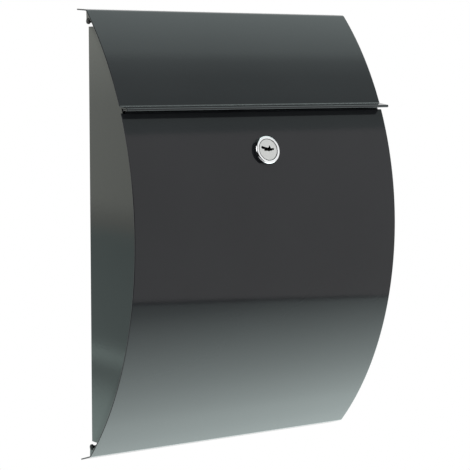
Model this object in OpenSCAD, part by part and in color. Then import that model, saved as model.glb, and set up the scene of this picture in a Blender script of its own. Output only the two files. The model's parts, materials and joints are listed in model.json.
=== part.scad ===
// Wall mounted mailbox of bent sheet steel. The curved front is two sheets on one arc: a letter
// flap hinged at the top and a locking door hinged at the bottom. Each turns on a rod held in
// knuckles rolled from the back panel, and runs back past the casing in a tail that hides the
// gap to the wall and stops the opening.
// Origin: centre of the four wall holes, on the wall. +X right, +Y into the wall, +Z up.

/* [Curved front] */
// Width across the flap and the door
front_w = 290; // [200:1:400]
// Height of the curved front, between its top and bottom bends
front_h = 401; // [300:1:520]
// How far the crown of the front stands before the casing's rear edge
bulge = 82.8; // [60:0.1:110]
// How far the ends of the curve stop short of the casing's rear edge
end_short = 3; // [2:0.1:5]
// Sheet thickness of the flap and the door
front_t = 1.2; // [0.8:0.1:1.6]
// Height of the flap's curved part
flap_h = 82.5; // [60:0.5:120]
// Gap in height between the flap's curve and the door's top edge
split_gap = 6.6; // [5:0.1:12]

/* [Lip, returns and tails] */
// Straight depth of the flap's lip, before its hem
lip_l = 11.4; // [6:0.1:16]
// Downward slope of the lip, in degrees
lip_slope = 7; // [0:1:25]
// Length of the hem folded back under the lip
hem_l = 6; // [3:0.5:9]
// Gap inside the closed hem
hem_gap = 0.2; // [0.1:0.1:0.6]
// Centreline radius of the open bends in the front sheets
fold_r = 2.2; // [1.6:0.1:4]
// Centreline radius of the bend into each tail
tail_r = 4; // [2:0.5:8]
// Straight length of the flap's tail
flap_tail_l = 14.8; // [10:0.1:24]
// Upward slope of the flap's tail, in degrees
flap_tail_rise = 4; // [0:1:15]
// Straight length of the door's tail
door_tail_l = 16.1; // [10:0.1:24]
// Downward slope of the door's tail, in degrees
door_tail_drop = 18; // [5:1:30]
// Depth of the return along the door's top edge, between its bends
return_in = 2.6; // [1:0.1:6]
// Height of the flange that closes the door's return
return_down = 8; // [4:0.5:12]
// Gap between each end of the return and the side wall
return_gap = 1.5; // [1:0.1:5]

/* [Casing] */
// Sheet thickness of the casing
case_t = 1.0; // [0.8:0.1:2]
// Outer bend radius of the casing
case_r = 2; // [2:0.5:5]
// Gap between the side walls' curved edges and the front sheets
edge_gap = 0.5; // [0.3:0.1:1.5]
// Depth of the flanges along the back panel's top and bottom
flange_l = 5; // [3:0.5:5.5]

/* [Hinges] */
// Distance from the end of the curve to the hinge axis, in height
pivot_drop = 9; // [8:0.1:14]
// Distance from the casing's rear edge forward to the hinge axis
pivot_in = 4.5; // [4:0.1:6]
// Distance from the hinge axis to the end of the side walls, in height
wall_drop = 4.8; // [4:0.1:10]
// Distance from the front sheets' edge in to the side wall
wall_step = 2.8; // [2.2:0.1:6]
// Radius of a hinge rod
rod_r = 1.5; // [1:0.1:1.8]
// Radial running clearance of the ears on their rod
rod_gap = 0.08; // [0.05:0.01:0.1]
// Radius of the round end of an ear
ear_r = 2.8; // [2.6:0.1:3.4]
// Inset of the ears from the front sheet's edge
ear_inset = 0.5; // [0:0.1:0.8]
// Outer radius of the washer under a rod's peened end
rod_washer_r = 2.6; // [2.4:0.1:3]
// Thickness of that washer
rod_washer_t = 0.4; // [0.3:0.1:0.8]
// Side clearance between an ear and its washer
side_gap = 0.15; // [0.1:0.05:0.3]
// Radius of a rod's peened end
peen_r = 2; // [1.9:0.1:2.3]
// Height of a rod's peened end
peen_h = 0.6; // [0.4:0.1:1]
// Width of a knuckle
knuckle_w = 24; // [12:1:40]
// Distance from the front's side edge to the middle of an outer knuckle
knuckle_side = 35; // [25:1:80]

/* [Wall rails] */
// Sheet thickness of the wall rails
rail_t = 1.5; // [1:0.1:2]
// Length of a wall rail
rail_l = 226; // [180:1:260]
// Height of a wall rail's web
rail_web = 30; // [24:1:40]
// Height of a wall rail's foot
rail_foot = 12; // [8:1:16]
// Distance from the hinge axis down to the rail's centre line
rail_drop = 86.5; // [78:0.1:100]
// Distance between the two holes of a rail
hole_pitch = 190; // [150:1:200]
// Diameter of a wall screw's hole
hole_d = 7; // [5:0.1:9]
// Diameter of the hole in the back panel that lets the screw's head through
access_d = 16; // [12:0.5:20]
// Clearance between the swinging tail and the wall
wall_gap = 1.5; // [1:0.1:5]

/* [Letter rail] */
// Sheet thickness of the letter rail
letter_t = 1.2; // [1:0.1:2]
// Height of the flange that the cam locks behind
strike_l = 15; // [12:0.5:18]
// Depth of the letter rail's top
letter_top = 12; // [8:0.5:20]
// Height of the letter rail's rear flange
letter_rear = 8; // [4:0.5:12]
// Depth of the weld tab at each end of the letter rail
tab_l = 12; // [8:0.5:16]
// Clearance between the cam and the letter rail
cam_gap = 0.5; // [0.3:0.1:1.5]
// Clearance above the cam's tip
tip_gap = 2; // [1:0.1:4]
// Radius of a door buffer
buffer_r = 5; // [3:0.5:6]
// Height of a door buffer
buffer_h = 2.6; // [1.5:0.1:2.8]
// Distance from the front's side edge to the middle of a buffer
buffer_side = 45; // [25:1:85]

/* [Lock] */
// Height of the lock's centre below the door's top edge
lock_drop = 35.5; // [34:0.5:60]
// Radius of the lock's head
head_r = 13; // [11:0.1:15]
// Height of the lock's head
head_h = 4.2; // [3:0.1:5]
// Radius of the rounded edge of the head
head_edge = 1.3; // [0.5:0.1:2]
// Radius of the recess for the cylinder's face
recess_r = 10.2; // [9.9:0.1:10.8]
// Depth of the recess for the cylinder's face
recess_h = 1.8; // [1.4:0.1:2.4]
// Radius of the cylinder's face
face_r = 9.6; // [9:0.1:9.8]
// How far the cylinder's face lies below the head's rim
face_drop = 0.25; // [0.1:0.05:0.6]
// Radius of the threaded barrel
barrel_r = 9.5; // [8.5:0.1:10]
// Distance across the flats of the barrel
barrel_flats = 16.5; // [16.3:0.1:18]
// Length of the barrel behind the door's face
barrel_l = 15; // [13:0.5:20]
// Radius of the lock cylinder
plug_r = 6.8; // [6.7:0.1:7]
// Radial running clearance of the lock cylinder
plug_gap = 0.08; // [0.05:0.01:0.1]
// Width of the keyway inside the cylinder
keyway_w = 8.4; // [7:0.1:8.6]
// Height of the keyway inside the cylinder
keyway_h = 2.2; // [1.5:0.1:2.6]
// Gap round the barrel in the door's hole
barrel_gap = 0.15; // [0.1:0.05:0.4]
// Distance across the flats of the lock nut
nut_af = 24; // [22:0.5:26]
// Thickness of the lock nut
nut_h = 4; // [3:0.5:6]
// Outer radius of the toothed washer
tooth_washer_r = 12; // [11:0.5:13]
// Thickness of the toothed washer
tooth_washer_t = 0.9; // [0.6:0.1:1.2]
// Length of the cam from the lock's axis
cam_l = 33; // [30:0.5:36]
// Width of the cam
cam_w = 15; // [12:0.5:18]
// Thickness of the cam
cam_t = 2; // [1.5:0.1:3]
// Side of the square that carries the cam
square_w = 7; // [6:0.1:8]
// Radius of the cam screw's thread
screw_r = 2; // [1.5:0.1:2.5]
// Radius of the cam screw's head
screw_head_r = 4; // [3:0.1:5]
// Number of wafers in the lock
wafers = 5; // [3:1:5]
// Distance from one wafer to the next
wafer_pitch = 2.3; // [2.1:0.1:2.4]
// Thickness of a wafer
wafer_t = 0.9; // [0.6:0.1:1]

/* [Hidden] */
$fn = 96;
sheet_paint = [0.20, 0.21, 0.22];
chrome_look = [0.80, 0.81, 0.82];
zinc_look = [0.70, 0.71, 0.72];
black_look = [0.10, 0.10, 0.10];
brass_look = [0.78, 0.62, 0.30];
rubber_look = [0.08, 0.08, 0.08];

// Gap round a piece that is fixed in its bore, and the lap that joins a bent sheet's segments
fixed_gap = 0.02;
lap = 0.02;
// Turn of the lock from open to locked
lock_turn = 90;

// The front's arc goes through both ends of the curve and the crown.
half_h = front_h / 2;
rise = bulge - end_short;
front_r = (half_h * half_h + rise * rise) / (2 * rise);
mid_r = front_r - front_t / 2;
inner_r = front_r - front_t;
end_a = asin(half_h / front_r);
flap_low_a = asin((half_h - flap_h) / front_r);
door_top_z = half_h - flap_h - split_gap;
door_top_a = asin(door_top_z / front_r);

// Hinge axis, seen from the centre of the arc
pivot_z = half_h - pivot_drop;
rear_in_arc = bulge - front_r;
pivot = [rear_in_arc - pivot_in, pivot_z];

// How far a tail reaches as it swings. The door's is the flap's kind turned upside down.
flap_tail_turn = 90 - end_a - flap_tail_rise;
door_tail_turn = 90 - end_a - door_tail_drop;
tail_reach = max(norm(tail_tip(flap_tail_rise, flap_tail_l) - pivot),
                 norm(tail_tip(door_tail_drop, door_tail_l) - pivot)) + front_t / 2;

// The casing's rear edge stands off the wall by what the longer tail needs to swing.
standoff = tail_reach - pivot_in + wall_gap;
rear_y = -standoff;
arc_y = rear_y - rear_in_arc;
hinge_y = arc_y + pivot[0];

// Widths, from the front sheet's edge inwards
half_w = front_w / 2;
ear_out = half_w - ear_inset;
ear_in = ear_out - front_t;
case_out = half_w - wall_step;
case_in = case_out - case_t;

// Casing
wall_r = inner_r - edge_gap;
case_top = pivot_z - wall_drop;
case_mid_r = case_r - case_t / 2;
knuckle_r = rod_r + fixed_gap + case_t / 2;
knuckle_turn = 200;
knuckle_x = half_w - knuckle_side;
hook_r = pivot_in - case_t / 2;
relief = 1.5;

// Wall rails
rail_z = pivot_z - rail_drop;
rail_bend = 1.5 * rail_t;

// Lock: its own frame stands on the door's outer face, +Z outwards and +Y up the door
lock_z = door_top_z - lock_drop;
lock_tilt = asin(lock_z / front_r);
lock_at = [0, arc_y - front_r * cos(lock_tilt), lock_z];
washer_seat = front_t + fixed_gap + inner_r
    - sqrt(inner_r * inner_r - tooth_washer_r * tooth_washer_r);
face_z = head_h - face_drop;
face_low = head_h - recess_h + 0.1;

// Stop: a boss on the cylinder's rear end that turns in a track of the housing
stop_r = plug_r + 0.9;
stop_h = 1.5;
stop_half = 9;
stop_slack = 2;
stop_gap = 0.15;

// Cam, carried on a square behind the barrel and held by its washer and screw
cam_front = barrel_l + 0.3;
square_l = cam_t - 0.1;
square_gap = 0.05;
cam_washer_t = 0.8;
cam_washer_r = 5.6;
screw_head_h = 2.4;
screw_slot = 0.8;
screw_play = 0.2;

// Wafers, each with a window for the key and a notch for its spring
wafer_w = 5.4;
wafer_gap = 0.1;
wafer_half_l = plug_r - 0.3;
wafer_first = 2.6;
window_gap = 0.2;
notch_w = 1.4;
notch_h = 1.3;
spring_r = 0.5;
spring_wire = 0.14;
spring_gap = 0.05;

// Keyhole: a wave of two bars and three lobes in the cylinder's face
wave_left = [-6.1, 2.2];
wave_low = [0.6, 0.2];
wave_peak = [2.1, 3.9];
wave_right = [6.4, 0.4];
wave_depth = 1.2;

// Letter rail, in the lock's frame
strike_back = -cam_front + cam_gap;
strike_mid = strike_back + letter_t / 2;
buffer_x = half_w - buffer_side;
letter_bend = letter_t;
letter_top_u = cam_l + tip_gap + letter_t / 2;
strike_low_u = letter_top_u - letter_bend - strike_l;

// End of a tail that leaves the arc's end through a bend and then slopes outwards
function tail_tip(slope, l) =
    let (mean = (90 - end_a + slope) / 2,
         chord = 2 * tail_r * sin(mean - slope))
    [-mid_r * cos(end_a) + chord * cos(mean) + l * cos(slope),
     mid_r * sin(end_a) + chord * sin(mean) + l * sin(slope)];

// Ring sector of a bend: starts at the origin heading along +X, turns left for a positive angle
module bend(r, turn, t) {
    side = turn < 0 ? -1 : 1;
    over = lap / r * 180 / PI;
    sweep = abs(turn) + 2 * over;
    parts = ceil(sweep / 45);
    reach = 2 * (r + t);
    fan = [for (k = [0 : parts])
        let (a = sweep * k / parts - over - 90) reach * [cos(a), sin(a)]];
    scale([1, side])
        translate([0, r])
            intersection() {
                difference() {
                    circle(r = r + t / 2);
                    circle(r = r - t / 2);
                }
                polygon(concat([[0, 0]], fan));
            }
}

// Section of a bent sheet. Each step is [length] for a straight or [radius, turn] for a bend.
module strip(steps, t, i = 0) {
    if (i < len(steps)) {
        step = steps[i];
        if (len(step) == 1) {
            translate([-lap, -t / 2])
                square([step[0] + 2 * lap, t]);
            translate([step[0], 0])
                strip(steps, t, i + 1);
        } else {
            side = step[1] < 0 ? -1 : 1;
            bend(step[0], step[1], t);
            translate([step[0] * sin(abs(step[1])), side * step[0] * (1 - cos(step[1]))])
                rotate(step[1])
                    strip(steps, t, i + 1);
        }
    }
}

// Turns a section drawn in Y and Z into a sheet across the box
module across(width) {
    rotate([90, 0, 90])
        linear_extrude(height = width, center = true)
            children();
}

module both_sides() {
    children();
    mirror([1, 0, 0])
        children();
}

// A plate in the Y-Z plane from x = from to x = to
module side_plate(from, to) {
    translate([(from + to) / 2, 0, 0])
        across(to - from)
            children();
}

module at_lock() {
    translate(lock_at)
        rotate([90 - lock_tilt, 0, 0])
            children();
}

// ---------- casing ----------

// Side wall: the space inside the arc, in front of the rear edge
module side_outline() {
    intersection() {
        translate([arc_y, 0])
            circle(r = wall_r, $fn = 360);
        translate([rear_y - 2 * bulge, -case_top])
            square([2 * bulge, 2 * case_top]);
    }
}

// Back panel and side walls as one bent sheet, seen from above
module case_section(half, r) {
    translate([-half, rear_y - 2 * bulge])
        square([2 * half, 2 * bulge - r]);
    translate([-half + r, rear_y - r])
        square([2 * (half - r), r]);
    for (side = [-1, 1])
        translate([side * (half - r), rear_y - r])
            circle(r = r);
}

// The flat panel stops where its two flanges bend forward.
module case_shell() {
    difference() {
        intersection() {
            linear_extrude(height = 3 * case_top, center = true)
                difference() {
                    case_section(case_out, case_r);
                    translate([0, -case_t])
                        case_section(case_in, case_r - case_t);
                }
            across(front_w)
                side_outline();
        }
        for (side = [-1, 1])
            translate([0, rear_y, side * (case_top + case_r)])
                cube([2 * (case_in - case_r), 3 * case_t, 4 * case_r], center = true);
    }
}

module at_knuckles() {
    for (x = [-knuckle_x, 0, knuckle_x], low = [0, 1])
        translate([x, 0, 0])
            mirror([0, 0, low])
                children();
}

// Back panel's section with its two flanges, cut away beside each knuckle
module flanged_panel() {
    cut_w = knuckle_w + 2 * relief;
    cut_l = 2 * (case_r + flange_l);
    difference() {
        across(2 * (case_in - case_r))
            translate([rear_y - case_r - flange_l, -case_top + case_t / 2])
                strip([[flange_l], [case_mid_r, 90], [2 * (case_top - case_r)],
                       [case_mid_r, 90], [flange_l]], case_t);
        at_knuckles()
            translate([-cut_w / 2, rear_y - cut_l, case_top - case_r])
                cube([cut_w, 2 * cut_l, cut_l]);
    }
}

// Tabs that go on up from the back panel, hook forward and roll round the hinge rods
module knuckles() {
    at_knuckles()
        across(knuckle_w)
            translate([rear_y - case_t / 2, case_top - case_r])
                rotate(90)
                    strip([[wall_drop + case_r + knuckle_r - hook_r], [hook_r, 90],
                           [knuckle_r, knuckle_turn]], case_t);
}

module at_wall_holes() {
    for (x = [-1, 1], z = [-1, 1])
        translate([x * hole_pitch / 2, 0, z * rail_z])
            rotate([90, 0, 0])
                children();
}

module at_pivots(side) {
    both_sides()
        translate([0, hinge_y, side * pivot_z])
            rotate([0, 90, 0])
                children();
}

module casing() {
    color(sheet_paint)
        difference() {
            union() {
                case_shell();
                flanged_panel();
                knuckles();
            }
            at_wall_holes()
                translate([0, 0, standoff - case_t])
                    cylinder(d = access_d, h = 3 * case_t);
        }
}

// ---------- wall rails ----------

// Hat section: two feet on the back panel, two legs, and the web on the wall
module rail_section() {
    leg = standoff - rail_t - 2 * rail_bend;
    foot = rail_foot - rail_bend;
    web = rail_web - 2 * rail_bend;
    height = web + 4 * rail_bend + 2 * foot;
    translate([rear_y + rail_t / 2, -height / 2])
        rotate(90)
            strip([[foot], [rail_bend, -90], [leg], [rail_bend, 90], [web],
                   [rail_bend, 90], [leg], [rail_bend, -90], [foot]], rail_t);
}

module wall_rail(side) {
    color(sheet_paint)
        difference() {
            translate([0, 0, side * rail_z])
                across(rail_l)
                    rail_section();
            at_wall_holes()
                translate([0, 0, -rail_t])
                    cylinder(d = hole_d, h = 3 * rail_t);
        }
}

module wall_rail_top() {
    wall_rail(1);
}

module wall_rail_bottom() {
    wall_rail(-1);
}

// ---------- front sheets ----------

// Puts a section's start on the arc at angle a, heading down the front or up it.
module on_arc(a, heading) {
    translate([arc_y - mid_r * cos(a), mid_r * sin(a)])
        rotate(heading)
            children();
}

// Ear: a plate inside the front's arc that reaches down to the hinge rod. It ends inside the
// thickness of the arc and of the bend behind it.
module ear_outline(side) {
    top = half_h + front_t / 3;
    reach = 3 * ear_r;
    intersection() {
        translate([arc_y, 0])
            circle(r = mid_r, $fn = 360);
        union() {
            translate([hinge_y, side * pivot_z])
                circle(r = ear_r);
            polygon([[hinge_y - reach, side * pivot_z], [hinge_y + ear_r, side * pivot_z],
                     [hinge_y + ear_r + front_t / 3, side * top], [hinge_y - reach, side * top]]);
        }
    }
}

module ears(side) {
    both_sides()
        side_plate(ear_in, ear_out)
            ear_outline(side);
}

module ear_bores(side) {
    at_pivots(side)
        translate([0, 0, ear_in - front_t])
            cylinder(r = rod_r + rod_gap, h = 3 * front_t);
}

// Curve, fold, lip and hem below; bend and tail above
module flap_section() {
    hem_r = (front_t + hem_gap) / 2;
    on_arc(end_a, 270 - end_a)
        strip([[mid_r, end_a - flap_low_a],
               [fold_r, -(90 - lip_slope - flap_low_a)], [lip_l],
               [hem_r, 180], [hem_l]], front_t, $fn = 360);
    on_arc(end_a, 90 - end_a)
        strip([[tail_r, -flap_tail_turn], [flap_tail_l]], front_t);
}

module flap() {
    color(sheet_paint)
        difference() {
            union() {
                across(front_w)
                    flap_section();
                ears(1);
            }
            ear_bores(1);
        }
}

// Curve, then the bend and tail below it
module door_section() {
    on_arc(door_top_a, 270 - door_top_a)
        strip([[mid_r, door_top_a + end_a], [tail_r, door_tail_turn], [door_tail_l]],
              front_t, $fn = 360);
}

// Return that stiffens the door's top edge; it passes between the side walls
module return_section() {
    on_arc(door_top_a, 90 - door_top_a)
        strip([[fold_r, -90], [return_in], [fold_r, -90], [return_down]], front_t);
}

// Hole with two flats, so that the barrel can't turn
module barrel_outline(gap) {
    intersection() {
        circle(r = barrel_r + gap);
        square([barrel_flats + 2 * gap, 3 * barrel_r], center = true);
    }
}

module door() {
    color(sheet_paint)
        difference() {
            union() {
                across(front_w)
                    door_section();
                across(2 * (case_in - return_gap))
                    return_section();
                ears(-1);
            }
            ear_bores(-1);
            at_lock()
                linear_extrude(height = 6 * front_t, center = true)
                    barrel_outline(barrel_gap);
        }
}

// ---------- hinge rods ----------

// A rod the full width of the front, peened over a washer outside each ear
module hinge_rod(side) {
    seat = ear_out + side_gap + rod_washer_t;
    peen_ball = (peen_r * peen_r + peen_h * peen_h) / (2 * peen_h);
    color(black_look) {
        translate([0, hinge_y, side * pivot_z])
            rotate([0, 90, 0])
                cylinder(r = rod_r, h = 2 * seat + peen_h, center = true);
        at_pivots(side)
            intersection() {
                translate([0, 0, seat])
                    cylinder(r = peen_r, h = peen_h);
                translate([0, 0, seat + peen_h - peen_ball])
                    sphere(r = peen_ball);
            }
    }
}

module rod_washers(side) {
    color(black_look)
        at_pivots(side)
            translate([0, 0, ear_out + side_gap])
                difference() {
                    cylinder(r = rod_washer_r, h = rod_washer_t);
                    translate([0, 0, -rod_washer_t])
                        cylinder(r = rod_r + fixed_gap, h = 3 * rod_washer_t);
                }
}

module flap_rod() {
    hinge_rod(1);
}

module door_rod() {
    hinge_rod(-1);
}

module flap_rod_washers() {
    rod_washers(1);
}

module door_rod_washers() {
    rod_washers(-1);
}

// ---------- letter rail ----------

// Placed in the lock's frame: X in the section is the way into the box, Y is up the door.
module in_lock_section() {
    translate([lock_at[1], lock_at[2]])
        rotate(-lock_tilt)
            children();
}

module letter_rail() {
    rail_w = 2 * case_in;
    flange = strike_l;
    color(sheet_paint) {
        across(rail_w)
            in_lock_section()
                translate([-strike_mid, strike_low_u])
                    rotate(90)
                        strip([[flange], [letter_bend, -90], [letter_top],
                               [letter_bend, -90], [letter_rear]], letter_t);
        both_sides()
            side_plate(case_in - letter_t, case_in)
                in_lock_section()
                    translate([-strike_mid, strike_low_u])
                        square([tab_l, flange]);
    }
}

// Rubber discs on the front of the letter rail's flange, with a rounded rim
module door_buffers() {
    round_r = 1;
    below_top = 1;
    color(rubber_look)
        both_sides()
            at_lock()
                translate([buffer_x, letter_top_u - letter_t / 2 - buffer_r - below_top,
                           strike_back + letter_t])
                    rotate_extrude()
                        union() {
                            square([buffer_r, buffer_h - round_r]);
                            square([buffer_r - round_r, buffer_h]);
                            translate([buffer_r - round_r, buffer_h - round_r])
                                circle(r = round_r);
                        }
}

// ---------- lock ----------

// Section of the head: a disc with a rounded front edge
module head_section() {
    square([head_r, head_h - head_edge]);
    square([head_r - head_edge, head_h]);
    translate([head_r - head_edge, head_h - head_edge])
        circle(r = head_edge);
}

// Ring sector that lets the cylinder's stop turn from open to locked
module stop_track() {
    from = -stop_half - stop_slack;
    to = lock_turn + stop_half + stop_slack;
    parts = 4;
    reach = 3 * stop_r;
    fan = [for (k = [0 : parts])
        let (a = from + (to - from) * k / parts) reach * [cos(a), sin(a)]];
    linear_extrude(height = stop_h + 2 * stop_gap)
        intersection() {
            circle(r = stop_r + stop_gap);
            polygon(concat([[0, 0]], fan));
        }
}

module lock_housing() {
    color(chrome_look)
        at_lock()
            difference() {
                union() {
                    rotate_extrude()
                        head_section();
                    translate([0, 0, -barrel_l])
                        linear_extrude(height = barrel_l + head_h / 2)
                            barrel_outline(0);
                }
                translate([0, 0, -2 * barrel_l])
                    cylinder(r = plug_r + plug_gap, h = 4 * barrel_l);
                translate([0, 0, head_h - recess_h])
                    cylinder(r = recess_r, h = 2 * recess_h);
                translate([0, 0, -barrel_l - lap])
                    stop_track();
            }
}

// Straight bar with square ends from one point to another
module bar(from, to, w) {
    run = to - from;
    translate(from)
        rotate(atan2(run[1], run[0]))
            translate([0, -w / 2])
                square([norm(run), w]);
}

module keyhole_outline() {
    bar(wave_left, wave_low, 2.4);
    bar(wave_low, wave_right, 1.7);
    translate(wave_left)
        circle(r = 1.2);
    translate(wave_low)
        circle(r = 1.8);
    polygon([wave_low - [1, 0], wave_peak, wave_low + [3, 0.3]]);
}

function wafer_z(k) = -wafer_first - k * wafer_pitch;
function last_slot_z() = wafer_z(wafers - 1) - wafer_gap;

// Face, plug, stop and square in one piece, with the keyway, the wafer slots and the screw bore
module lock_cylinder() {
    slot_w = wafer_w + 2 * wafer_gap;
    slot_t = wafer_t + 2 * wafer_gap;
    keyway_end = last_slot_z() - 0.6;
    screw_end = last_slot_z() - 1.2;
    color(chrome_look)
        at_lock()
            difference() {
                union() {
                    translate([0, 0, face_low])
                        cylinder(r = face_r, h = face_z - face_low);
                    translate([0, 0, -barrel_l])
                        cylinder(r = plug_r, h = barrel_l + face_low + lap);
                    translate([0, 0, -barrel_l])
                        linear_extrude(height = stop_h)
                            intersection() {
                                circle(r = stop_r);
                                polygon([[0, 0], 3 * stop_r * [cos(stop_half), -sin(stop_half)],
                                         3 * stop_r * [cos(stop_half), sin(stop_half)]]);
                            }
                    translate([-square_w / 2, -square_w / 2, -cam_front - square_l])
                        cube([square_w, square_w, cam_front + square_l - barrel_l + lap]);
                }
                translate([0, 0, face_low])
                    linear_extrude(height = 2 * head_h)
                        keyhole_outline();
                translate([0, 0, -wave_depth])
                    linear_extrude(height = wave_depth + head_h)
                        intersection() {
                            keyhole_outline();
                            circle(r = plug_r - 0.6);
                        }
                translate([-keyway_w / 2, -keyway_h / 2, keyway_end])
                    cube([keyway_w, keyway_h, 2 * barrel_l]);
                for (k = [0 : wafers - 1])
                    translate([-2 * plug_r, -slot_w / 2, wafer_z(k) - wafer_gap])
                        cube([4 * plug_r, slot_w, slot_t]);
                translate([0, 0, -2 * barrel_l])
                    cylinder(r = screw_r + fixed_gap, h = 2 * barrel_l + screw_end);
            }
}

// Plates with a key window each; a notch at one corner seats the spring
module lock_wafers() {
    color(brass_look)
        at_lock()
            for (k = [0 : wafers - 1])
                translate([0, 0, wafer_z(k)])
                    linear_extrude(height = wafer_t)
                        difference() {
                            intersection() {
                                square([2 * wafer_half_l, wafer_w], center = true);
                                circle(r = plug_r - spring_gap);
                            }
                            square([keyway_w + 2 * window_gap,
                                    keyway_h + (2 + k % 3) * window_gap], center = true);
                            translate([wafer_half_l - notch_w, wafer_w / 2 - notch_h])
                                square([2 * notch_w, 2 * notch_h]);
                        }
}

// A coil spring in each wafer's notch, up to the end of the wafer's slot
module wafer_springs() {
    low = wafer_w / 2 - notch_h + spring_gap;
    high = wafer_w / 2 + wafer_gap - spring_gap;
    color(zinc_look)
        at_lock()
            for (k = [0 : wafers - 1])
                translate([wafer_half_l - notch_w + spring_r + 2 * spring_gap, low,
                           wafer_z(k) + wafer_t / 2])
                    rotate([-90, 0, 0])
                        linear_extrude(height = high - low, twist = 1080, slices = 30, $fn = 6)
                            translate([spring_r - spring_wire, 0])
                                circle(r = spring_wire);
}

module lock_washer() {
    teeth = 10;
    tooth_gap_r = 0.9;
    color(zinc_look)
        at_lock()
            translate([0, 0, -washer_seat - tooth_washer_t])
                linear_extrude(height = tooth_washer_t)
                    difference() {
                        circle(r = tooth_washer_r);
                        barrel_outline(barrel_gap);
                        for (k = [0 : teeth - 1])
                            rotate(360 * (k + 0.5) / teeth)
                                translate([tooth_washer_r, 0])
                                    circle(r = tooth_gap_r);
                    }
}

// Hexagon nut whose corners are rounded off a little
module lock_nut() {
    corner_r = 0.56 * nut_af;
    color(zinc_look)
        at_lock()
            translate([0, 0, -washer_seat - tooth_washer_t - nut_h])
                difference() {
                    intersection() {
                        cylinder(d = nut_af / cos(30), h = nut_h, $fn = 6);
                        cylinder(r = corner_r, h = nut_h);
                    }
                    translate([0, 0, -nut_h])
                        cylinder(r = barrel_r + fixed_gap, h = 3 * nut_h);
                }
}

// Cam: lies along +X when open and turns up behind the letter rail when locked
module lock_cam() {
    color(zinc_look)
        at_lock()
            translate([0, 0, -cam_front - cam_t])
                linear_extrude(height = cam_t)
                    difference() {
                        union() {
                            circle(d = cam_w);
                            translate([0, -cam_w / 2])
                                square([cam_l - cam_w / 2, cam_w]);
                            translate([cam_l - cam_w / 2, 0])
                                circle(d = cam_w);
                        }
                        square(square_w + 2 * square_gap, center = true);
                    }
}

module cam_washer() {
    color(zinc_look)
        at_lock()
            translate([0, 0, -cam_front - cam_t - cam_washer_t])
                difference() {
                    cylinder(r = cam_washer_r, h = cam_washer_t);
                    translate([0, 0, -cam_washer_t])
                        cylinder(r = screw_r + screw_play, h = 3 * cam_washer_t);
                }
}

// Screw with a cross slot in its head
module cam_screw() {
    head_low = -cam_front - cam_t - cam_washer_t - screw_head_h;
    thread_top = last_slot_z() - 1.6;
    color(zinc_look)
        at_lock()
            difference() {
                union() {
                    translate([0, 0, head_low])
                        cylinder(r = screw_head_r, h = screw_head_h);
                    translate([0, 0, head_low])
                        cylinder(r = screw_r, h = thread_top - head_low);
                }
                for (turn = [0, 90])
                    rotate(turn)
                        translate([-screw_head_r * 0.65, -screw_slot / 2, head_low - screw_slot])
                            cube([screw_head_r * 1.3, screw_slot, 2.5 * screw_slot]);
            }
}

casing();
wall_rail_top();
wall_rail_bottom();
letter_rail();
door_buffers();
flap();
flap_rod();
flap_rod_washers();
door();
door_rod();
door_rod_washers();
lock_housing();
lock_washer();
lock_nut();
lock_cylinder();
lock_wafers();
wafer_springs();
lock_cam();
cam_washer();
cam_screw();
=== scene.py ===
# %% [markdown]
# # A wall mounted mailbox of bent sheet steel
#
# The mailbox is two curved front sheets over a shallow casing: a letter flap hinged along the
# top and a door hinged along the bottom, with a cam lock in the door. Its sizes are settled in
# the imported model, so this lesson adds what a solid model can't hold: smoothly bent sheets with
# broken edges, a lock with a rounded chrome head, and finishes that answer to the light.
#
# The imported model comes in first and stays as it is. Everything is in metres, with the origin
# between the four wall screws, +X to the right, +Y into the wall and +Z up.

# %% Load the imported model
import json
from math import asin, cos, degrees, radians, sin

import bpy
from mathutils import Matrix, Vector

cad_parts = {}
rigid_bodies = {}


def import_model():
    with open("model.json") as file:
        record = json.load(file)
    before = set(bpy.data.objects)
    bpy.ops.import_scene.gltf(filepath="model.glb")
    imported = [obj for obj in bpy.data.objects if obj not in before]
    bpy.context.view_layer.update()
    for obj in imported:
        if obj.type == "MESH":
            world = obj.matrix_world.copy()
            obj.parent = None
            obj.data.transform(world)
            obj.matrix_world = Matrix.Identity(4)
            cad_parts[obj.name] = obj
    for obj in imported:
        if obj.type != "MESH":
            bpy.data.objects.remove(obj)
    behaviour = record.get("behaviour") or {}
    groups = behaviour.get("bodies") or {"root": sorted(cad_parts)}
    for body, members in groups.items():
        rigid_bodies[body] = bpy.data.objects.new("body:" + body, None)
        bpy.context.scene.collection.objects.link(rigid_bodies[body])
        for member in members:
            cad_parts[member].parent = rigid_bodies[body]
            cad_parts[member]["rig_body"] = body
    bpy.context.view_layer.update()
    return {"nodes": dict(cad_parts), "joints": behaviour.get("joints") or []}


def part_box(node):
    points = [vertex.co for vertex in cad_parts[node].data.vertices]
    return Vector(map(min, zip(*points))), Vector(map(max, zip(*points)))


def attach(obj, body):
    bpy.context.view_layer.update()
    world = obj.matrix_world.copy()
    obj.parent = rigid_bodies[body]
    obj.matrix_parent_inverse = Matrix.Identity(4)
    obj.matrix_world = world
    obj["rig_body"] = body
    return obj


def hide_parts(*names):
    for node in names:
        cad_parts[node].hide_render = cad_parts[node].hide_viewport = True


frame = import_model()
nodes = frame["nodes"]

# %% [markdown]
# ## Camera
#
# A wide lens close by would swell the near corner of a box this small, so the view is a long
# lens from about 1.6 metres: a little above the middle and 35 degrees to the left, where one
# side wall and the whole front show. A camera and a lamp both look along their own -Z, so one
# helper turns either of them the way it should look.


# %% Camera
def looking(way):
    return Vector(way).to_track_quat("-Z", "Y").to_euler()


camera_at = Vector((-0.8863, -1.3256, 0.1472))
bpy.ops.object.camera_add(location=camera_at, rotation=looking((0.5665, 0.8183, -0.0972)))
camera = bpy.context.object
camera.data.lens = 128.3
camera.data.sensor_width = 36
bpy.context.scene.camera = camera
print("camera", round(camera_at.length, 3), "m from the middle of the wall screws")

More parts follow.
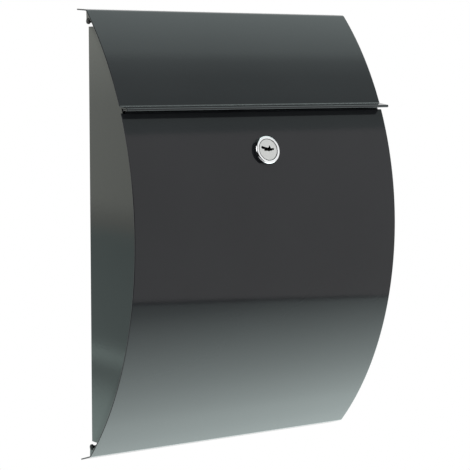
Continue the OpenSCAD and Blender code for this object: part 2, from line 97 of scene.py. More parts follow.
# %% [markdown]
# ## Shader maths as plain sums
#
# A finish is a handful of patterns added, multiplied and cut off. Written as nodes that is long,
# so a small class wraps a socket, and sums on it put down the Math nodes.


# %% Sums on sockets
class Value:
    def __init__(self, tree, socket):
        self.tree = tree
        self.socket = socket

    def sum(self, how, first, second):
        math = self.tree.nodes.new("ShaderNodeMath")
        math.operation = how
        for slot, value in zip(math.inputs, (first, second)):
            if isinstance(value, Value):
                self.tree.links.new(value.socket, slot)
            else:
                slot.default_value = value
        return Value(self.tree, math.outputs[0])

    def __add__(self, other):
        return self.sum("ADD", self, other)

    def __radd__(self, other):
        return self.sum("ADD", other, self)

    def __sub__(self, other):
        return self.sum("SUBTRACT", self, other)

    def __rsub__(self, other):
        return self.sum("SUBTRACT", other, self)

    def __mul__(self, other):
        return self.sum("MULTIPLY", self, other)

    def __rmul__(self, other):
        return self.sum("MULTIPLY", other, self)


# %% [markdown]
# A finish is one Principled shader. What is the same all over, such as how strongly it bends
# light, is a number on the shader itself; what changes from place to place comes in as a link.
# Patterns read the place of a point in the piece's own space, so they move with the piece.


# %% A finish
class Finish:
    def __init__(self, name, **constants):
        self.material = bpy.data.materials.new(name)
        self.material.use_nodes = True
        self.tree = self.material.node_tree
        self.tree.nodes.clear()
        self.out = self.tree.nodes.new("ShaderNodeOutputMaterial")
        self.shader = self.tree.nodes.new("ShaderNodeBsdfPrincipled")
        self.tree.links.new(self.shader.outputs[0], self.out.inputs["Surface"])
        for socket, value in constants.items():
            self.shader.inputs[socket.replace("_", " ")].default_value = value
        self.place = self.node("ShaderNodeTexCoord", output="Object")

    def node(self, kind, settings=None, inputs=None, output=0):
        made = self.tree.nodes.new(kind)
        for setting, value in (settings or {}).items():
            if setting == "stops":
                for stop, (at, shade) in zip(self.stops(made, len(value)), value):
                    stop.position = at
                    stop.color = (*shade, 1)
            else:
                setattr(made, setting, value)
        for socket, value in (inputs or {}).items():
            self.put(made.inputs[socket], value)
        return Value(self.tree, made.outputs[output])

    def stops(self, ramp, count):
        while len(ramp.color_ramp.elements) < count:
            ramp.color_ramp.elements.new(1)
        return ramp.color_ramp.elements

    def put(self, socket, value):
        if isinstance(value, Value):
            self.tree.links.new(value.socket, socket)
        else:
            socket.default_value = value

    def noise(self, scale, detail=2.0):
        return self.node("ShaderNodeTexNoise", inputs={"Vector": self.place, "Scale": scale,
                                                       "Detail": detail})

    def shades(self, factor, *stops):
        return self.node("ShaderNodeValToRGB", {"stops": stops}, {"Fac": factor})

    def bump(self, height, distance):
        return self.node("ShaderNodeBump", inputs={"Height": height, "Distance": distance,
                                                   "Strength": 1.0})

    def wear(self, **links):
        for socket, value in links.items():
            self.put(self.shader.inputs[socket.replace("_", " ")], value)
        return self.material


# %% [markdown]
# ## The powder coat
#
# Anthracite powder is sprayed on dry and melts in an oven into a glossy, nearly black skin. It
# never lies quite flat: the melt leaves a soft ripple about two millimetres across, which
# frays the edge of a reflection. Under it the colour is even, with the faintest cloudiness. An
# image could carry all that, but it would need seams and a size of its own. Three noises, each
# at its own scale, have neither.

# %% Powder coat
powder = Finish("anthracite_powder", IOR=1.42)
cloud = powder.noise(scale=9, detail=3)
ripple = powder.noise(scale=420, detail=1.5)
grain = powder.noise(scale=2600, detail=1)
powder_coat = powder.wear(
    Base_Color=powder.shades(cloud, (0.3, (0.0108, 0.0116, 0.0138)),
                             (0.7, (0.0138, 0.0149, 0.0174))),
    Roughness=0.05 + cloud * 0.04 + grain * 0.03,
    Normal=powder.bump(ripple + grain * 0.25, distance=0.00002),
)
print("powder coat:", len(powder.tree.nodes), "nodes")

# %% [markdown]
# ## Working by place
#
# An operator acts on all that is selected, so before each one the right part has to be picked,
# and nothing else. With a mouse that is done by eye; here it is done by place. A few helpers
# keep it short: they clear the selection, open a piece for editing, pick its points or faces by
# a rule, cut it along a plane, and write a finished piece's place into its mesh.


# %% Picking by place
def nothing_selected():
    bpy.ops.object.select_all(action="DESELECT")


def active(piece):
    nothing_selected()
    piece.select_set(True)
    bpy.context.view_layer.objects.active = piece


def placed(piece):
    active(piece)
    bpy.ops.object.transform_apply(location=True, rotation=True, scale=True)
    return piece


def edit(piece, kind="VERT", select="SELECT"):
    bpy.context.view_layer.objects.active = piece
    bpy.ops.object.mode_set(mode="EDIT")
    bpy.ops.mesh.select_mode(type=kind)
    bpy.ops.mesh.select_all(action=select)


def pick_vertices(piece, wanted):
    edit(piece, "VERT", "DESELECT")
    bpy.ops.object.mode_set(mode="OBJECT")
    for vertex in piece.data.vertices:
        vertex.select = wanted(vertex.co)
    bpy.ops.object.mode_set(mode="EDIT")


def pick_faces(piece, wanted):
    edit(piece, "FACE", "DESELECT")
    bpy.ops.object.mode_set(mode="OBJECT")
    for face in piece.data.polygons:
        face.select = wanted(face)
    bpy.ops.object.mode_set(mode="EDIT")


# %% Cuts and modifiers
def split_at(piece, x):
    edit(piece)
    bpy.ops.mesh.bisect(plane_co=(x, 0, 0), plane_no=(1, 0, 0), threshold=1e-6)


def keep_beyond(piece, point, way, close=False):
    edit(piece)
    bpy.ops.mesh.bisect(plane_co=point, plane_no=Vector(way).normalized(), clear_inner=True,
                        use_fill=close, threshold=1e-6)
    bpy.ops.object.mode_set(mode="OBJECT")


def apply(piece, kind, **settings):
    bpy.context.view_layer.objects.active = piece
    modifier = piece.modifiers.new(kind.lower(), kind)
    for setting, value in settings.items():
        setattr(modifier, setting, value)
    bpy.ops.object.modifier_apply(modifier=modifier.name)


# %% [markdown]
# ## Bending sheet metal
#
# The flap and the door are each one sheet of steel 1.2 mm thick that went through a press brake,
# which makes one bend after another from one edge of the blank to the other. They could be
# lofted from a profile curve, but a curve says nothing about how the sheet got its shape. Here
# the blank starts as a plane, the straight that the machine grips first. Its free edge is then
# extruded for each straight and spun about an axis for each bend, so the steps in the script
# are the steps in the shop. The thickness comes last, for the whole sheet at once.
#
# The press brake keeps two things in mind: where the free edge is, and which way it points. A
# spin without a window turns the other way round, so its angle carries a minus sign.


# %% Press brake
class PressBrake:
    def __init__(self, name, width, edge, heading, first):
        self.edge = Vector(edge)
        self.heading = radians(heading)
        middle = self.edge + self.way() * first / 2
        nothing_selected()
        bpy.ops.mesh.primitive_plane_add(size=1, location=middle, rotation=(self.heading, 0, 0))
        self.sheet = bpy.context.object
        self.sheet.name = name
        self.sheet.scale = (width, first, 1)
        placed(self.sheet)
        self.edge += self.way() * first
        self.grip()

    def way(self):
        return Vector((0, cos(self.heading), sin(self.heading)))

    def across(self):
        return Vector((0, -sin(self.heading), cos(self.heading)))

    def grip(self, half_width=1.0, near=1e-5):
        pick_vertices(
            self.sheet,
            lambda at: abs(at.y - self.edge.y) < near
            and abs(at.z - self.edge.z) < near
            and abs(at.x) < half_width,
        )

    def straight(self, length):
        move = self.way() * length
        bpy.ops.mesh.extrude_region_move(TRANSFORM_OT_translate={"value": move})
        self.edge += move

    def bend(self, radius, turn, steps):
        turn = radians(turn)
        side = 1 if turn > 0 else -1
        axis_at = self.edge + self.across() * side * radius
        bpy.ops.mesh.spin(steps=steps, angle=-turn, center=axis_at, axis=(1, 0, 0))
        self.heading += turn
        self.edge = axis_at - self.across() * side * radius

    def notch(self, half_width, near=1e-4):
        for x in (-half_width, half_width):
            split_at(self.sheet, x)
        self.grip(half_width + near)

    def done(self):
        bpy.ops.object.mode_set(mode="OBJECT")
        print(self.sheet.name, "ends", round(self.edge.y, 4), round(self.edge.z, 4))
        return self.sheet


# %% [markdown]
# Both sheets lie on one arc, so its size is worked out once, from the same few numbers that the
# drawing gives: the height between the arc's ends, its depth and the sheet's thickness. The
# sheets are bent along the middle of their thickness, where steel neither stretches nor shrinks.

# %% The front's arc
sheet_t = 0.0012
front_half = 0.2005
front_rise = 0.0798
front_r = (front_half**2 + front_rise**2) / (2 * front_rise)
mid_r = front_r - sheet_t / 2
end_a = degrees(asin(front_half / front_r))
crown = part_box("door")[0].y
tail_r, fold_r = 0.004, 0.0022
print("front arc: radius", round(front_r, 4), "crown at", round(crown, 4))

# %% [markdown]
# The flap starts at the end of its tail, runs up over the bend at the top and down the front,
# folds outwards into the lip, and ends in a hem closed under the lip, which takes the sharp
# edge away from fingers and letters.

# %% Flap sheet
flap_low, flap_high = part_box("flap")
tail, tail_rise = 0.0148, 4
lip, lip_slope, lip_z = 0.0114, 7, 0.118
hem, hem_r = 0.006, 0.0007
tip = Vector((0, flap_high.y - sin(radians(tail_rise)) * sheet_t / 2,
              flap_high.z - cos(radians(tail_rise)) * sheet_t / 2))
flap_end = degrees(asin(lip_z / front_r))
brake = PressBrake("flap_sheet", flap_high.x - flap_low.x, tip, 180 + tail_rise, tail)
brake.bend(tail_r, 90 - end_a - tail_rise, steps=8)
brake.bend(mid_r, end_a - flap_end, steps=28)
brake.bend(fold_r, flap_end + lip_slope - 90, steps=8)
brake.straight(lip)
brake.bend(hem_r, 180, steps=10)
brake.straight(hem)
flap_sheet = brake.done()

# %% [markdown]
# A sheet leaves the brake with no thickness. It gets its gauge to both sides at once, then the
# broken edges that a deburring wheel leaves, and normals weighted by face size, so that the
# large faces stay true and only the narrow edge strips bend the light.


# %% Gauge and edges
def outwards(piece):
    edit(piece)
    bpy.ops.mesh.remove_doubles(threshold=1e-7)
    bpy.ops.mesh.normals_make_consistent(inside=False)
    bpy.ops.object.mode_set(mode="OBJECT")


def thicken(piece, gauge):
    apply(piece, "SOLIDIFY", thickness=gauge, offset=0, use_even_offset=True)
    outwards(piece)


def break_edges(piece, width, segments=2, angle=40):
    apply(piece, "BEVEL", width=width, segments=segments, limit_method="ANGLE",
          angle_limit=radians(angle), use_clamp_overlap=False)


def smooth(piece, angle=36):
    active(piece)
    bpy.ops.object.shade_smooth_by_angle(angle=radians(angle))
    apply(piece, "WEIGHTED_NORMAL", keep_sharp=True)


def combine(piece, tool, how):
    apply(piece, "BOOLEAN", object=tool, operation=how, solver="EXACT")
    bpy.data.objects.remove(tool)


sheet_edge = 0.0005
thicken(flap_sheet, sheet_t)
break_edges(flap_sheet, sheet_edge, segments=3)
print(flap_sheet.name, len(flap_sheet.data.polygons), "faces")

# %% [markdown]
# The door starts at the end of its own tail. Its curve ends under the letter slot, where the
# sheet turns inwards twice and makes a narrow return that keeps the edge straight. The return
# has to pass between the side walls, so it is notched in at both ends before it is bent. Two
# more cuts, one each side of the lock, keep the long faces of the curve away from the lock's
# hole, where they would shade unevenly.

# %% Door sheet
door_low, door_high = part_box("door")
tail, tail_drop = 0.0161, 18
return_z, return_half, return_drop, return_width = 0.1114, 0.1397, 0.0026, 0.008
beside_lock = 0.014
tip = Vector((0, door_high.y - sin(radians(tail_drop)) * sheet_t / 2,
              door_low.z + cos(radians(tail_drop)) * sheet_t / 2))
door_end = degrees(asin(return_z / front_r))
brake = PressBrake("door_sheet", door_high.x - door_low.x, tip, 180 - tail_drop, tail)
brake.bend(tail_r, end_a + tail_drop - 90, steps=8)
brake.bend(mid_r, -end_a - door_end, steps=64)
brake.notch(return_half)
brake.bend(fold_r, -90, steps=6)
brake.straight(return_drop)
brake.bend(fold_r, -90, steps=6)
brake.straight(return_width)
door_sheet = brake.done()
for x in (-beside_lock, beside_lock):
    split_at(door_sheet, x)
bpy.ops.object.mode_set(mode="OBJECT")
thicken(door_sheet, sheet_t)
break_edges(door_sheet, sheet_edge, segments=3)
print(door_sheet.name, len(door_sheet.data.polygons), "faces")

# %% [markdown]
# ## Ears
#
# A flat ear stands inside each end of both sheets, and the hinge rod passes through it. It could
# be cut from a block, but a laser cuts it from flat stock, and so does this: the lower half of a
# circle is the round end about the rod, its two ends are drawn on to the front and up to the
# tail, and the closed outline is filled, drilled and thickened. One ear is made, and its mirror
# images make the other three.


# %% Drawing a line
def draw_line(piece, start, *points):
    pick_vertices(piece, lambda at: (at - start).length < 1e-5)
    for point in points:
        bpy.ops.mesh.extrude_vertices_move(TRANSFORM_OT_translate={"value": point - start})
        start = point


def on_front(z):
    return Vector((ear_at.x, crown + front_r - (mid_r**2 - z**2) ** 0.5, z))


# %% One ear
joints = {joint["name"]: joint for joint in frame["joints"]}
pivot = Vector(joints["flap_hinge"]["pos_m"])
ear_r, ear_inset, ear_edge, rod_hole_r = 0.0028, 0.0005, 0.00012, 0.00158
ear_top = front_half + sheet_t / 3
ear_at = Vector((flap_high.x - ear_inset - sheet_t / 2, pivot.y, pivot.z))
sideways = (0, radians(90), 0)
nothing_selected()
bpy.ops.mesh.primitive_circle_add(vertices=48, radius=ear_r, location=ear_at, rotation=sideways)
ear = placed(bpy.context.object)
pick_vertices(ear, lambda at: at.z > pivot.z + 1e-6)
bpy.ops.mesh.delete(type="VERT")
rear = ear_at + Vector((0, ear_r, 0))
draw_line(ear, rear, Vector((ear_at.x, rear.y + sheet_t / 3, ear_top)))
heights = [pivot.z + (ear_top - pivot.z) * part / 4 for part in range(5)]
draw_line(ear, ear_at - Vector((0, ear_r, 0)), *map(on_front, heights))
bpy.ops.mesh.select_all(action="SELECT")
bpy.ops.mesh.edge_face_add()
bpy.ops.object.mode_set(mode="OBJECT")
thicken(ear, sheet_t)
nothing_selected()
bpy.ops.mesh.primitive_cylinder_add(vertices=40, radius=rod_hole_r, depth=0.01, location=ear_at,
                                    rotation=sideways)
combine(ear, placed(bpy.context.object), "DIFFERENCE")
break_edges(ear, ear_edge)
print("ear", len(ear.data.polygons), "faces")


# %% Four ears and two sheets
def mirrored(piece, x, z):
    twin = piece.copy()
    twin.data = piece.data.copy()
    bpy.context.collection.objects.link(twin)
    twin.scale = (x, 1, z)
    outwards(placed(twin))
    return twin


for sheet, z in ((flap_sheet, 1), (door_sheet, -1)):
    for x in (-1, 1):
        combine(sheet, mirrored(ear, x, z), "UNION")
    print(sheet.name, "with its ears", len(sheet.data.polygons), "faces")
bpy.data.objects.remove(ear)

# %% [markdown]
# ## Lock
#
# The lock is turned on a lathe along its own axis, so every piece of it is made upright at the
# origin and laid into the door as the last step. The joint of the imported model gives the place
# and the tilt. The hole in the door comes first. It has two flats, as the lock's barrel does, so
# that the lock can't turn in it.

# %% Hole for the lock
lock_at = Vector(joints["lock_turn"]["pos_m"])
lock_way = Vector(joints["lock_turn"]["axis"])
lock_turn = asin(-lock_way.y)
hole_r, hole_flats, hole_depth = 0.00965, 0.0168, 0.012


def into_door(piece):
    piece.rotation_euler = (lock_turn, 0, 0)
    piece.location = lock_at
    outwards(placed(piece))
    return piece


nothing_selected()
bpy.ops.mesh.primitive_cylinder_add(vertices=64, radius=hole_r, depth=hole_depth)
hole = bpy.context.object
for side in (-1, 1):
    keep_beyond(hole, (side * hole_flats / 2, 0, 0), (-side, 0, 0), close=True)
combine(door_sheet, into_door(hole), "DIFFERENCE")
outwards(door_sheet)
print("lock tilted", round(degrees(lock_turn), 2), "degrees")

# %% Sheets done
for sheet in (flap_sheet, door_sheet):
    smooth(sheet)
    sheet.data.materials.clear()
    sheet.data.materials.append(powder_coat)
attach(flap_sheet, "flap")
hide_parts("flap")
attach(door_sheet, "door")
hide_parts("door")
print("sheets", [len(sheet.data.polygons) for sheet in (flap_sheet, door_sheet)])

# %% [markdown]
# The body of the lock comes off a lathe in one setting: a head with a rounded rim and a recess
# for the turning face, and a threaded barrel with a bore. It could be stacked up from cylinders,
# but then each step would want a join. The outline of one side, drawn point by point and spun
# about the axis, has none. The thread is a row of grooves, which at a pitch of a millimetre
# can't be told from a helix. The flats and the track of the stop are milled after.


# %% A lathe that works in millimetres
def arc(r, z, radius, first, last, parts):
    turns = [radians(first + (last - first) * part / parts) for part in range(parts + 1)]
    return [(r + radius * cos(turn), z + radius * sin(turn)) for turn in turns]


def lathe(name, outline, turn=360, steps=96):
    points = [Vector((r, 0, z)) / 1000 for r, z in outline]
    nothing_selected()
    bpy.ops.mesh.primitive_plane_add(size=0.0001, location=points[0])
    piece = placed(bpy.context.object)
    piece.name = name
    edit(piece)
    bpy.ops.mesh.merge(type="CENTER")
    draw_line(piece, points[0], *points[1:], points[0])
    bpy.ops.mesh.select_all(action="SELECT")
    bpy.ops.mesh.remove_doubles(threshold=1e-6)
    if turn < 360:
        bpy.ops.mesh.edge_face_add()
    bpy.ops.mesh.spin(steps=steps, angle=-radians(turn), center=(0, 0, 0), axis=(0, 0, 1))
    bpy.ops.object.mode_set(mode="OBJECT")
    outwards(piece)
    return piece


def block(low, high):
    low, high = Vector(low) / 1000, Vector(high) / 1000
    nothing_selected()
    bpy.ops.mesh.primitive_cube_add(size=1, location=(low + high) / 2)
    bpy.context.object.scale = high - low
    return placed(bpy.context.object)


# %% Lock body
bore, rim, rim_round, head_top = 6.88, 13, 1.3, 4.2
recess, recess_round, recess_floor = 10.2, 0.2, 2.4
root, crest, pitch, grooves, first_groove = 9.05, 9.5, 1.0, 13, -1.2
barrel_end, chamfer_r, chamfer_z = -15, 8.7, -14.7
thread = []
for groove in range(grooves):
    z = first_groove - groove * pitch
    thread += [(root, z), (root, z - 0.25 * pitch), (crest, z - 0.55 * pitch),
               (crest, z - 0.7 * pitch)]
outline = [(bore, recess_floor), (bore, barrel_end), (chamfer_r, barrel_end), (root, chamfer_z)]
outline += thread[::-1] + [(root, 0), (rim, 0)]
outline += arc(rim - rim_round, head_top - rim_round, rim_round, 0, 90, 6)
outline += arc(recess + recess_round, head_top - recess_round, recess_round, 90, 180, 3)
outline += [(recess, recess_floor)]
lock_head = lathe("lock_head", outline, steps=120)
print(lock_head.name, "turned from", len(outline), "points")

# %% Flats and track of the stop
flat, flat_top, clear_of_barrel, below_barrel = 8.25, -0.02, 12, -16
for near, far in ((-clear_of_barrel, -flat), (flat, clear_of_barrel)):
    milled = block((near, -clear_of_barrel, below_barrel), (far, clear_of_barrel, flat_top))
    combine(lock_head, milled, "DIFFERENCE")
inner_r, track_r, track_low, track_high = 0.2, 7.85, barrel_end - 0.1, -13.2
track_turn, track_from = 112, -11
track_outline = [(inner_r, track_low), (track_r, track_low), (track_r, track_high),
                 (inner_r, track_high)]
track = lathe("stop_track", track_outline, track_turn, steps=28)
track.rotation_euler = (0, 0, radians(track_from))
combine(lock_head, placed(track), "DIFFERENCE")
into_door(lock_head)
print(lock_head.name, len(lock_head.data.polygons), "faces")

# %% [markdown]
# ## Pieces that only want their edges broken
#
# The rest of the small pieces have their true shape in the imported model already, down to the
# key's window in each wafer. They could be modelled again, but that would only risk the fit. A
# copy of each is merged into one skin, its flat faces are made whole, and its sharp edges are
# broken by a fitting amount: stamped and turned steel a tenth of a millimetre, rubber more. The
# casing and the rods are merged but keep their edges, because where a wall and two flanges meet
# in a point, a bevel would make spikes.
#
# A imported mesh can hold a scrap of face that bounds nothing. The casing has one along each side
# wall, in the plane where its bend ends. It would spoil the merged skin, so it is found by that
# plane and its size, and deleted first.

# %% Deburred copies
casing_bend = 0.002
bend_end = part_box("casing")[1].y - casing_bend


def scrap(face, near=2e-5, large=1e-4):
    upright = abs(face.normal.y) > 0.99
    return upright and abs(face.center.y - bend_end) < near and face.area > large


def deburred(node, edge, flat_within=0.3):
    piece = bpy.data.objects.new(node + "_deburred", nodes[node].data.copy())
    bpy.context.collection.objects.link(piece)
    active(piece)
    edit(piece)
    bpy.ops.mesh.remove_doubles(threshold=1e-7)
    pick_faces(piece, scrap)
    bpy.ops.mesh.delete(type="FACE")
    if edge:
        bpy.ops.mesh.select_all(action="SELECT")
        bpy.ops.mesh.dissolve_limited(angle_limit=radians(flat_within))
        bpy.ops.object.mode_set(mode="OBJECT")
        break_edges(piece, edge / 1000)
    bpy.ops.object.mode_set(mode="OBJECT")
    smooth(piece)
    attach(piece, nodes[node]["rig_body"])
    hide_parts(node)
    print(piece.name, len(piece.data.polygons), "faces")
    return piece


# %% [markdown]
# ## Chrome, zinc, brass, rubber and black steel
#
# Patterns on the lock have to follow the lock, so its finish reads places from the lock's own
# axis: how far out from it a point is, and how high above the door. The plating is bright on
# the rim and satin on the face, where keys have brushed it. The key's slot and the groove round
# the face are painted nearly black: a painted shade for the dark depth of these recesses. Three
# materials could share the work, but one that knows its place lets each run softly into the next.


# %% Places on the lock
def seen_from_lock(finish):
    turned = finish.node("ShaderNodeMapping", {"vector_type": "TEXTURE"},
                         {"Vector": finish.place, "Location": lock_at,
                          "Rotation": (lock_turn, 0, 0)})
    flat = finish.node("ShaderNodeVectorMath", {"operation": "MULTIPLY"}, {0: turned, 1: (1, 1, 0)})
    radius = finish.node("ShaderNodeVectorMath", {"operation": "LENGTH"}, {0: flat}, "Value")
    height = finish.node("ShaderNodeSeparateXYZ", None, {"Vector": turned}, "Z")
    return radius * 1000, height * 1000


def ramp(finish, value, low, high):
    return finish.node("ShaderNodeMapRange", {"interpolation_type": "SMOOTHSTEP"},
                       {"Value": value, "From Min": low, "From Max": high})


def blend(finish, factor, first, second):
    mix = finish.tree.nodes.new("ShaderNodeMix")
    mix.data_type = "RGBA"
    for socket, value in ((0, factor), (6, first), (7, second)):
        finish.put(mix.inputs[socket], value)
    return Value(finish.tree, mix.outputs[2])


# %% Chrome
below_face, above_barrel, within_rim = (3.85, 3.6), (-3, -2.6), (10.25, 10.15)
face_level, face_edge = (3.8, 3.9), (9.75, 9.65)
chrome = Finish("bright_chrome")
out, up = seen_from_lock(chrome)
inside = ramp(chrome, up, *below_face) * ramp(chrome, up, *above_barrel)
# Painted shade: this mask turns the key's slot and the groove round the face nearly black, standing
# in for the shade deep in these recesses.
painted_recess_shade = inside * ramp(chrome, out, *within_rim)
face = ramp(chrome, up, *face_level) * ramp(chrome, out, *face_edge)
speckle = chrome.noise(scale=2600, detail=2)
haze = chrome.noise(scale=160, detail=3)
plated = blend(chrome, face, (0.86, 0.87, 0.88, 1), (0.66, 0.66, 0.65, 1))
chrome_plate = chrome.wear(
    Base_Color=blend(chrome, painted_recess_shade, plated, (0.012, 0.012, 0.012, 1)),
    Metallic=1 - painted_recess_shade * 0.9,
    Roughness=0.06 + haze * 0.06 + face * (0.12 + speckle * 0.2) + painted_recess_shade * 0.5,
    Normal=chrome.bump(speckle * face + haze * 0.2, distance=0.00002),
)
print("chrome:", len(chrome.tree.nodes), "nodes")

# %% [markdown]
# Zinc is passivated after plating, and its bright grey is cloudy and a little blue. The wafers
# are punched from brass strip. The buffers are soft black rubber, and the hinge rods drawn
# steel, blackened in a hot bath that leaves a faint sheen. All four are a cloudy colour under a
# fine grain, so one recipe makes them, and each brings its shades, gloss and scale.


# %% Other metals and rubber
def metal(name, dark, bright, gloss, scale, metallic=1.0):
    finish = Finish(name, Metallic=metallic)
    cloud = finish.noise(scale, detail=4)
    fine = finish.noise(scale * 18, detail=2)
    return finish.wear(
        Base_Color=finish.shades(cloud, (0.3, dark), (0.7, bright)),
        Roughness=gloss + cloud * 0.14 + fine * 0.1,
        Normal=finish.bump(fine, distance=0.00001),
    )


zinc_plate = metal("passivated_zinc", dark=(0.46, 0.48, 0.51), bright=(0.62, 0.64, 0.66),
                   gloss=0.22, scale=180)
brass_strip = metal("punched_brass", dark=(0.56, 0.38, 0.15), bright=(0.74, 0.54, 0.25),
                    gloss=0.2, scale=240)
black_steel = metal("blackened_steel", dark=(0.012, 0.012, 0.013), bright=(0.024, 0.024, 0.026),
                    gloss=0.26, scale=120, metallic=0.35)
soft_rubber = metal("soft_rubber", dark=(0.012, 0.012, 0.012), bright=(0.02, 0.02, 0.02),
                    gloss=0.62, scale=300, metallic=0.0)
print("finishes", [m.name for m in bpy.data.materials if m.users])

# %% [markdown]
# Now every small piece gets its turn in the workshop: a finish, and beside each node's name the
# width of its broken edges in millimetres. The turned lock body only wants its plating.

# %% Every piece takes its finish
lock_head.data.materials.append(chrome_plate)
smooth(lock_head)
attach(lock_head, "door")
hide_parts("lock_housing")
workshop = {
    "sheet": (powder_coat, {"casing": 0, "wall_rail_top": 0.25, "wall_rail_bottom": 0.25,
                            "letter_rail": 0.2}),
    "black_steel": (black_steel, {"flap_rod": 0, "door_rod": 0, "flap_rod_washers": 0.08,
                                  "door_rod_washers": 0.08}),
    "chrome": (chrome_plate, {"lock_cylinder": 0.08}),
    "zinc": (zinc_plate, {"lock_washer": 0.1, "lock_nut": 0.25, "lock_cam": 0.25,
                          "cam_washer": 0.1, "cam_screw": 0.12, "wafer_springs": 0.02}),
    "brass": (brass_strip, {"lock_wafers": 0.06}),
    "rubber": (soft_rubber, {"door_buffers": 0.6}),
}
for slot, (finish, pieces) in workshop.items():
    for node, edge in pieces.items():
        piece = deburred(node, edge)
        piece.data.materials.clear()
        piece.data.materials.append(finish)

# %% [markdown]
# ## Light
#
# Two kinds of light fall on the mailbox, and they are set apart. The plain light on its colours
# comes from the room and from a wide soft box over the front, which no mirror sees. What the
# gloss mirrors is a room that is white all round, as it is for the camera, while as a lamp the
# same room is dimmer.

# %% World
world = bpy.data.worlds.new("white_room")
bpy.context.scene.world = world
world.use_nodes = True
room = world.node_tree
room.nodes.clear()
ray = room.nodes.new("ShaderNodeLightPath")
lit = room.nodes.new("ShaderNodeBackground")
lit.inputs["Strength"].default_value = 0.6
seen = room.nodes.new("ShaderNodeBackground")
seen.inputs["Strength"].default_value = 1.0
for background in (lit, seen):
    background.inputs["Color"].default_value = (1, 1, 1, 1)
to_mirrors = Value(room, ray.outputs["Is Glossy Ray"])
through_glass = Value(room, ray.outputs["Is Transmission Ray"])
direct = to_mirrors + through_glass + Value(room, ray.outputs["Is Camera Ray"])
pick = room.nodes.new("ShaderNodeMixShader")
room.links.new(direct.socket, pick.inputs[0])
room.links.new(lit.outputs[0], pick.inputs[1])
room.links.new(seen.outputs[0], pick.inputs[2])
air = room.nodes.new("ShaderNodeOutputWorld")
room.links.new(pick.outputs[0], air.inputs["Surface"])
print("white room:", len(room.nodes), "nodes")

# %% Soft box
nothing_selected()
bpy.ops.object.light_add(type="AREA", location=(0, -0.9, 1.4), rotation=looking((0, 0.8, -1.3)))
soft_box = bpy.context.object
soft_box.name = "over_the_front"
soft_box.data.shape = "RECTANGLE"
soft_box.data.size, soft_box.data.size_y = 1.6, 1.2
soft_box.data.energy = 12
soft_box.visible_camera = soft_box.visible_glossy = False
print(soft_box.name, soft_box.data.energy, "W")

# %% [markdown]
# Most of the shade on a dark gloss sheet is what it mirrors, so boards set it. One lies overhead
# and one low before the door. Two stand beyond the left side wall, one over the other, and a
# bright strip on the left gives the lock its glint. Each board glows by its own list of places
# and levels, so that the curve of the front runs from light to dark. Only mirrors see them: the
# plain light on the colours stays as it is.


# %% Graded boards
def only_mirrored(piece, name):
    piece.name = name
    piece.visible_camera = piece.visible_diffuse = piece.visible_shadow = False


def board(name, low, high, axis, tint, levels):
    nothing_selected()
    bpy.ops.mesh.primitive_plane_add(size=1)
    sheet = bpy.context.object
    if axis == "Z":
        sheet.rotation_euler = (0, radians(90), 0)
        bpy.ops.object.transform_apply(location=False, rotation=True, scale=False)
    low, high = Vector(low), Vector(high)
    sheet.location = (low + high) / 2
    sheet.scale = [side or 1 for side in high - low]
    placed(sheet)
    only_mirrored(sheet, name)
    peak = max(level for _, level in levels)
    glow = Finish(name, Roughness=1.0, Emission_Strength=peak)
    place = glow.node("ShaderNodeSeparateXYZ", None, {"Vector": glow.place}, axis)
    start, end = levels[0][0], levels[-1][0]
    part_way = glow.node("ShaderNodeMapRange", None,
                         {"Value": place, "From Min": start, "From Max": end})
    stops = [((at - start) / (end - start), [part * level / peak for part in tint])
             for at, level in levels]
    glow.wear(Base_Color=(0, 0, 0, 1), Emission_Color=glow.shades(part_way, *stops))
    sheet.data.materials.append(glow.material)
    print(name, "glows up to", peak)
    return sheet


# %% Boards round the mailbox
daylight, warm_white = (0.87, 1, 0.98), (0.955, 1, 0.9)
green_white, white = (0.8, 1, 0.94), (1, 1, 1)
board("overhead", (0.0, -1.4, 1.0), (1.7, 0.5, 1.0), "Y", daylight,
      [(-1.4, 0.64), (-0.6, 0.8), (-0.45, 1.05), (-0.36, 1.6), (-0.2, 1.85), (0.0, 2.0)])
low_board = board("low_before_the_door", (0.0, -1.2, -0.56), (1.5, 0.4, -0.56), "Y", daylight,
                  [(-1.2, 0.9), (-0.9, 0.9), (-0.81, 1.05), (-0.74, 1.35), (-0.66, 1.7),
                   (-0.51, 2.4), (-0.19, 4.1), (-0.08, 4.4), (0.1, 3.4)])
board("beyond_the_side_wall", (-0.75, 0.3, -0.105), (-0.75, 1.4, 0.7), "Z", warm_white,
      [(-0.105, 0.76), (-0.09, 0.84), (-0.06, 1.2), (0.1, 1.28), (0.2, 1.84)])
board("beyond_its_foot", (-0.75, 0.3, -0.7), (-0.75, 1.4, -0.105), "Z", green_white,
      [(-0.45, 2.15), (-0.385, 1.7), (-0.34, 0.75), (-0.325, 0.74), (-0.312, 2.25), (-0.295, 0.8),
       (-0.12, 0.7), (-0.105, 0.78)])
board("strip_on_the_left", (-1.6, -1.5, 0.3), (-1.6, -0.5, 1.6), "Z", white,
      [(0.3, 3.5), (1.6, 3.5)])

# %% [markdown]
# Nobody lights the room behind the camera, nor the side that the camera stands on. What is
# rounded over towards it, such as the broken edge of a sheet or the rim of the lock, mirrors
# that dark quarter and draws a thin dark line. A black curtain stands for it: a sphere, of which
# two upright cuts leave a quarter, because flat screens would leave a bright gap at each corner.
# A black canopy, cut from the same sphere, hangs high behind the left side and darkens the
# shoulder of the lock.

# %% Black curtain and canopy
black = Finish("black_felt", Roughness=1.0)
black_felt = black.wear(Base_Color=black.shades(black.noise(scale=40), (0.3, (0.008, 0.008, 0.008)),
                                                (0.7, (0.012, 0.012, 0.012))))


def curtain(name, height, *ways):
    nothing_selected()
    bpy.ops.mesh.primitive_uv_sphere_add(segments=48, ring_count=24, radius=2.8)
    felt = bpy.context.object
    for way in ways:
        keep_beyond(felt, (0, 0, height), way)
    only_mirrored(felt, name)
    felt.data.materials.append(black_felt)
    print(name, "of", len(felt.data.polygons), "faces")


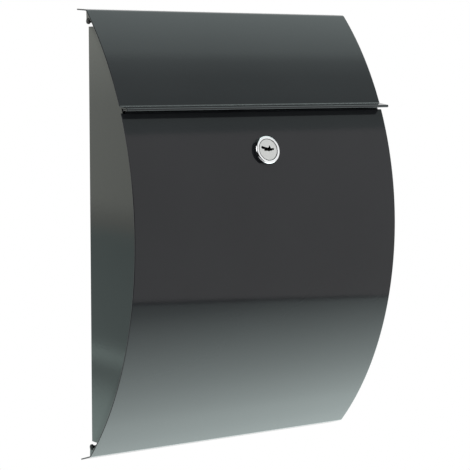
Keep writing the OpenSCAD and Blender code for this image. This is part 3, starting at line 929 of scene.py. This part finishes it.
curtain("black_curtain", 0, (-0.97, -0.25, 0), (-0.1, -1, 0))
curtain("black_canopy", 0.9, (0.1, 1, 0), (-1, 0, 0), (0, 0, 1))

# %% [markdown]
# The low board ends in a slanting edge, and a black batten along it, cut to a taper, draws the
# dark line that crosses the door.

# %% Dark batten
board_end, along, taper = Vector((0.62, -0.86, -0.56)), radians(30), radians(4.2)
batten_length, batten_width = 1.3, 0.09
keep_beyond(low_board, board_end, (-sin(along), cos(along), 0))
middle = board_end + Vector((sin(along), -cos(along), 0)) * batten_width / 2
nothing_selected()
bpy.ops.mesh.primitive_plane_add(size=1, rotation=(0, 0, along), location=middle)
batten = bpy.context.object
batten.scale = (batten_length, batten_width, 1)
placed(batten)
tip = board_end + Vector((cos(along), sin(along), 0)) * 0.5
keep_beyond(batten, tip, (-sin(along + taper), cos(along + taper), 0))
only_mirrored(batten, "black_batten")
batten.data.materials.append(black_felt)
print(batten.name, "of", len(batten.data.polygons), "face")

# %% [markdown]
# The floor is a pale disc well under the mailbox, which takes its shadow. A plain disc would
# end in a horizon, so this one fades out into the room towards its rim.

# %% Floor
floor_r, floor_z = 1.05, -0.6
nothing_selected()
bpy.ops.mesh.primitive_circle_add(vertices=96, radius=floor_r, fill_type="NGON",
                                  location=(0, 0, floor_z))
floor = bpy.context.object
floor.name = "pale_floor"
pale = Finish("pale_floor", Roughness=0.9)
from_middle = pale.node("ShaderNodeVectorMath", {"operation": "LENGTH"}, {0: pale.place}, "Value")
pale.wear(Base_Color=(0.86, 0.86, 0.86, 1))
glow = pale.tree.nodes.new("ShaderNodeEmission")
fade = pale.tree.nodes.new("ShaderNodeMixShader")
pale.put(fade.inputs[0], ramp(pale, from_middle, 0.5, 1.0))
pale.tree.links.new(pale.shader.outputs[0], fade.inputs[1])
pale.tree.links.new(glow.outputs[0], fade.inputs[2])
pale.tree.links.new(fade.outputs[0], pale.out.inputs["Surface"])
floor.data.materials.append(pale.material)
print(floor.name, "at", floor_z)

# %% [markdown]
# Colours go to the screen as they are, without a film look laid over them.

# %% Colours as they are
bpy.context.scene.view_settings.view_transform = "Standard"
print("view", bpy.context.scene.view_settings.view_transform)
